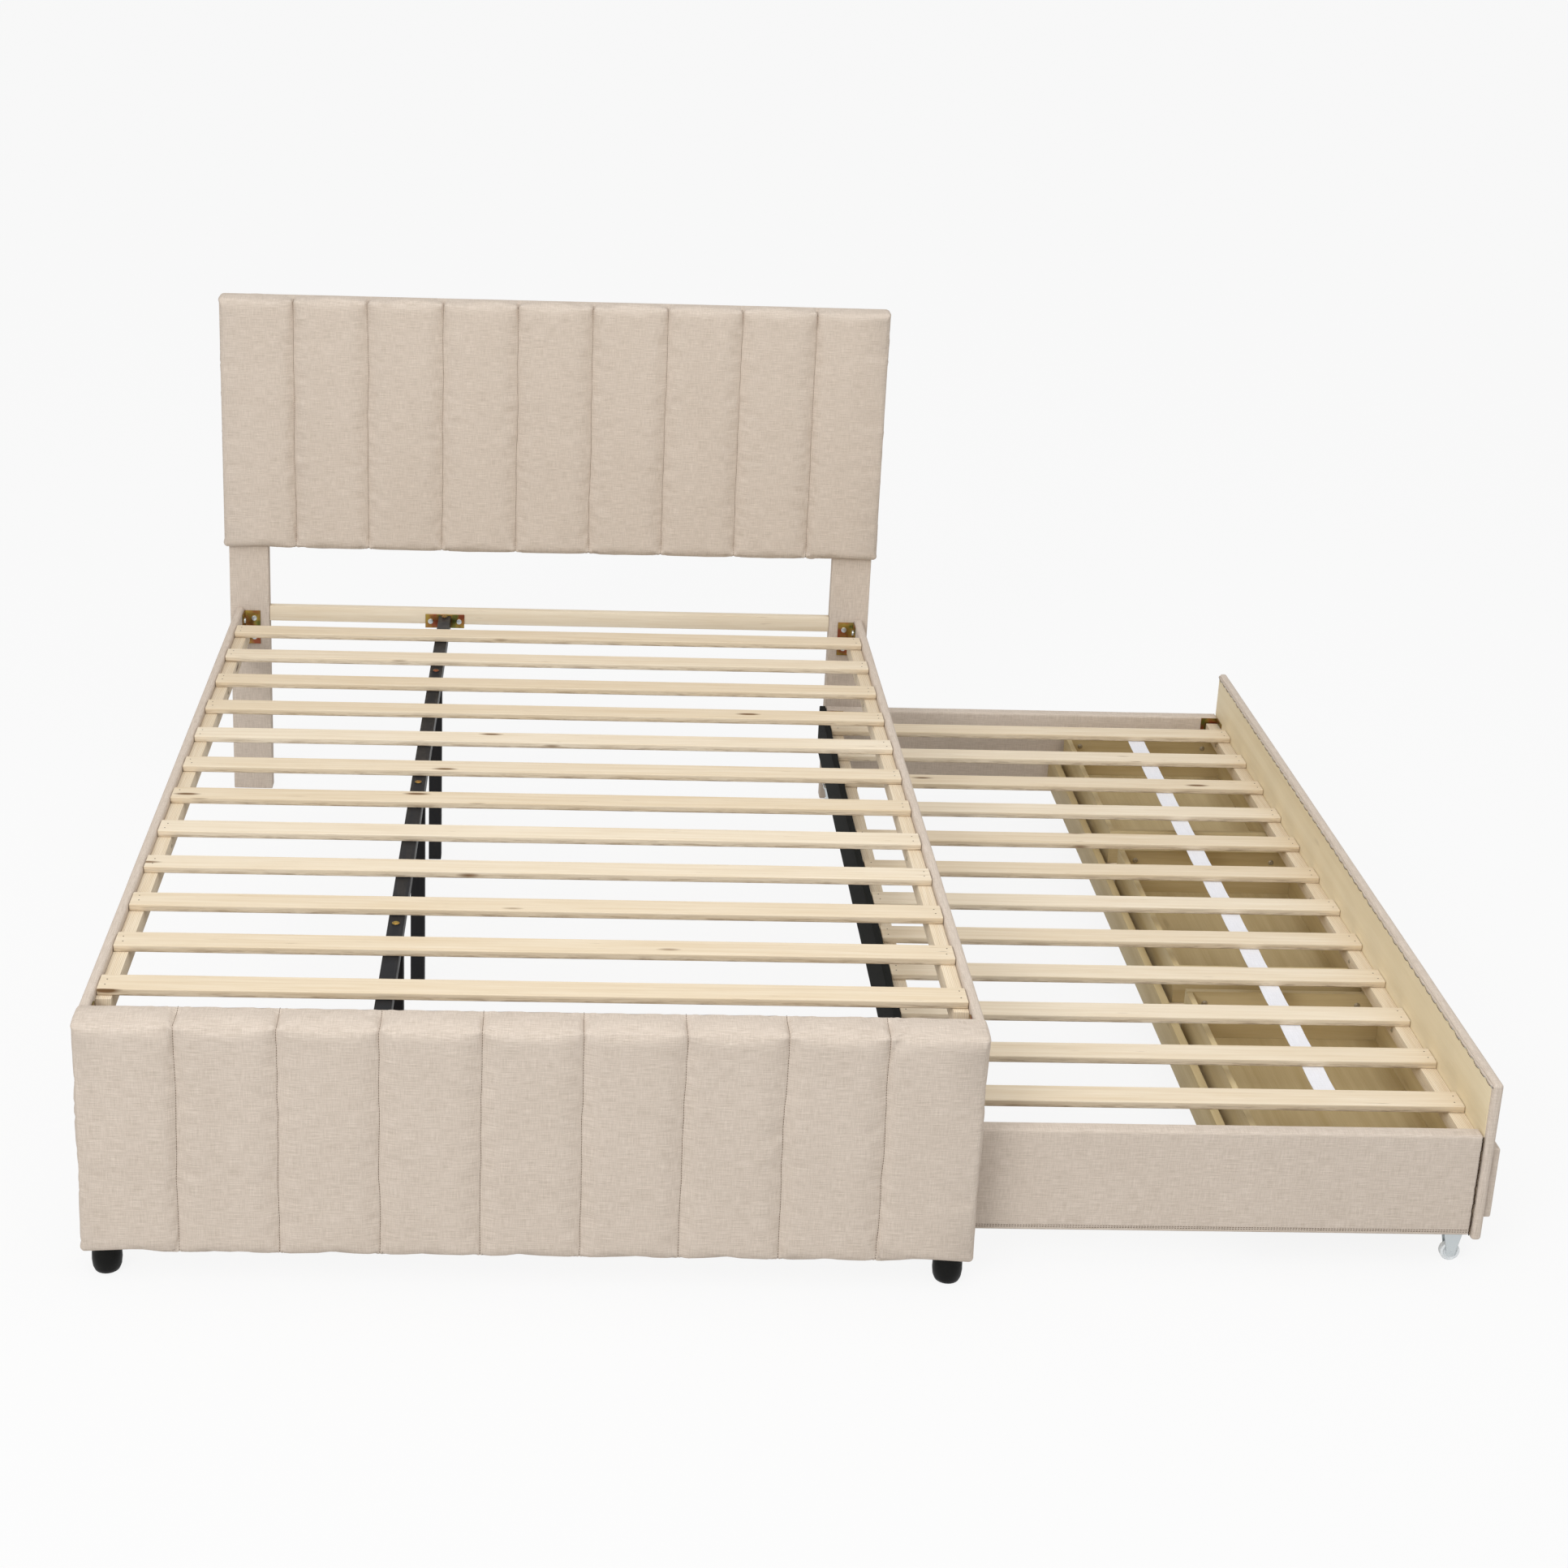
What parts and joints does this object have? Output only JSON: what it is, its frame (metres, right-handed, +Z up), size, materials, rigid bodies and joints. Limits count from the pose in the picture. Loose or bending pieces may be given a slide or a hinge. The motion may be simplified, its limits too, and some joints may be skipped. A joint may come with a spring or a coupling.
{
  "type": "trundle bed",
  "caption": "Upholstered bed with channelled headboard and footboard, slatted deck, and a slatted trundle on casters that rolls out at the side and carries storage drawers.",
  "frame": {"origin": "floor level, at the middle of the footprint of the bed with its trundle pulled out", "axes": "+X towards the side that the trundle rolls out of, +Y towards the headboard, +Z up"},
  "size_m": [2.5614, 2.171, 1.295],
  "materials": {
    "linen": "woven linen look",
    "pine": "bare planed softwood",
    "plywood": "bare plywood",
    "black_cloth": "matt non-woven cloth",
    "black_steel": "satin powder coat",
    "yellow_zinc": "yellow zinc plated steel",
    "bright_zinc": "bright zinc plated steel",
    "black_plastic": "moulded",
    "white_nylon": "translucent white nylon",
    "webbing": "white woven webbing"
  },
  "bodies": {
    "bed_frame": {"headboard_panel": "linen", "headboard_post_left": "linen", "headboard_post_right": "linen", "headboard_crossrail": "pine", "footboard": "linen", "foot_left": "black_plastic", "foot_right": "black_plastic", "side_rail_left": "linen", "slat_ledger_left": "pine", "corner_bracket_head_left": "yellow_zinc", "corner_bracket_foot_left": "yellow_zinc", "side_rail_right": "linen", "slat_ledger_right": "pine", "corner_bracket_head_right": "yellow_zinc", "corner_bracket_foot_right": "yellow_zinc", "slat_01": "pine", "slat_02": "pine", "slat_03": "pine", "slat_04": "pine", "slat_05": "pine", "slat_06": "pine", "slat_07": "pine", "slat_08": "pine", "slat_09": "pine", "slat_10": "pine", "slat_11": "pine", "slat_12": "pine", "beam_bracket_head": "yellow_zinc", "beam_bracket_foot": "yellow_zinc", "centre_beam": "black_steel", "centre_leg_1": "black_steel", "centre_leg_2": "black_steel", "centre_leg_3": "black_steel"},
    "trundle": {"trundle_foot_board": "linen", "trundle_head_board": "linen", "trundle_fascia": "linen", "trundle_inner_board": "black_cloth", "trundle_ledger_left": "pine", "trundle_ledger_right": "pine", "trundle_slat_deck": "pine", "drawer_beam": "plywood", "drawer_runner_1": "pine", "drawer_runner_2": "pine", "drawer_runner_3": "pine", "drawer_runner_4": "pine", "caster_bracket_foot_left": "bright_zinc", "caster_bracket_foot_right": "bright_zinc", "caster_bracket_head_left": "bright_zinc", "caster_bracket_head_right": "bright_zinc"},
    "drawer_1": {"drawer_1_box": "plywood", "drawer_1_front": "linen"},
    "drawer_2": {"drawer_2_box": "plywood", "drawer_2_front": "linen"},
    "drawer_3": {"drawer_3_box": "plywood", "drawer_3_front": "linen"},
    "wheel_foot_left": {"caster_wheel_foot_left": "white_nylon"},
    "wheel_foot_right": {"caster_wheel_foot_right": "white_nylon"},
    "wheel_head_left": {"caster_wheel_head_left": "white_nylon"},
    "wheel_head_right": {"caster_wheel_head_right": "white_nylon"}
  },
  "joints": [
    {"name": "trundle_slide", "type": "slide", "parent": "bed_frame", "child": "trundle", "axis": [1, 0, 0], "range_m": [-0.931, 0.15]},
    {"name": "drawer_1_slide", "type": "slide", "parent": "trundle", "child": "drawer_1", "axis": [1, 0, 0], "range_m": [0, 0.34]},
    {"name": "drawer_2_slide", "type": "slide", "parent": "trundle", "child": "drawer_2", "axis": [1, 0, 0], "range_m": [0, 0.34]},
    {"name": "drawer_3_slide", "type": "slide", "parent": "trundle", "child": "drawer_3", "axis": [1, 0, 0], "range_m": [0, 0.34]},
    {"name": "wheel_foot_left_spin", "type": "hinge", "parent": "trundle", "child": "wheel_foot_left", "pos_m": [0.26535, -0.9675, 0.018], "axis": [0, 1, 0], "continuous": true},
    {"name": "wheel_foot_right_spin", "type": "hinge", "parent": "trundle", "child": "wheel_foot_right", "pos_m": [1.22235, -0.9675, 0.018], "axis": [0, 1, 0], "continuous": true},
    {"name": "wheel_head_left_spin", "type": "hinge", "parent": "trundle", "child": "wheel_head_left", "pos_m": [0.26535, 0.9825, 0.018], "axis": [0, 1, 0], "continuous": true},
    {"name": "wheel_head_right_spin", "type": "hinge", "parent": "trundle", "child": "wheel_head_right", "pos_m": [1.22235, 0.9825, 0.018], "axis": [0, 1, 0], "continuous": true}
  ],
  "couplings": [
    {"joint": "wheel_foot_left_spin", "follows": "trundle_slide", "rad_per_m": 55.556},
    {"joint": "wheel_foot_right_spin", "follows": "trundle_slide", "rad_per_m": 55.556},
    {"joint": "wheel_head_left_spin", "follows": "trundle_slide", "rad_per_m": 55.556},
    {"joint": "wheel_head_right_spin", "follows": "trundle_slide", "rad_per_m": 55.556}
  ]
}
